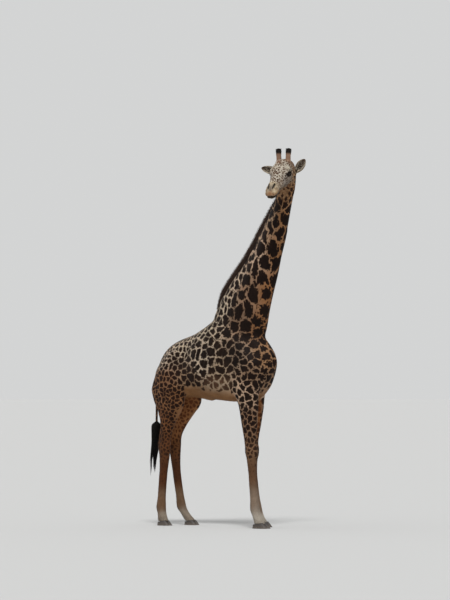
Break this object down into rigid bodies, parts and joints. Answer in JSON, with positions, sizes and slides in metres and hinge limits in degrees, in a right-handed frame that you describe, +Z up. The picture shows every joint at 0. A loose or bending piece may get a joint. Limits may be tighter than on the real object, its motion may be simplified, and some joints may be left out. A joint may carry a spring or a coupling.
{
  "type": "giraffe figure",
  "caption": "Life-size standing bull giraffe with its neck raised and its head turned to its right, parted into head, neck, trunk, legs, tail, mane, ears, horns, eyes and hooves.",
  "frame": {"origin": "on the floor, under the middle of the animal's outline", "axes": "+X towards the breast, +Y to the animal's left, +Z up"},
  "size_m": [2.7292, 1.039, 5.2394],
  "materials": {
    "coat": "hide with short flat hair, dark brown blotches parted by a thin tan net",
    "hair": "long stiff dark hair",
    "eye": "wet and dark",
    "horn": "worn hoof horn"
  },
  "bodies": {
    "root": {"head": "coat", "neck": "coat", "trunk": "coat", "foreleg_right": "coat", "foreleg_left": "coat", "hindleg_right": "coat", "hindleg_left": "coat", "ear_right": "coat", "ear_left": "coat", "ossicone_right": "coat", "ossicone_left": "coat", "tail": "coat", "eye_right": "eye", "eye_left": "eye", "mane": "hair", "tail_tuft": "hair", "hoof_foreleg_right_inner": "horn", "hoof_foreleg_right_outer": "horn", "hoof_foreleg_left_inner": "horn", "hoof_foreleg_left_outer": "horn", "hoof_hindleg_right_inner": "horn", "hoof_hindleg_right_outer": "horn", "hoof_hindleg_left_inner": "horn", "hoof_hindleg_left_outer": "horn"}
  },
  "joints": []
}
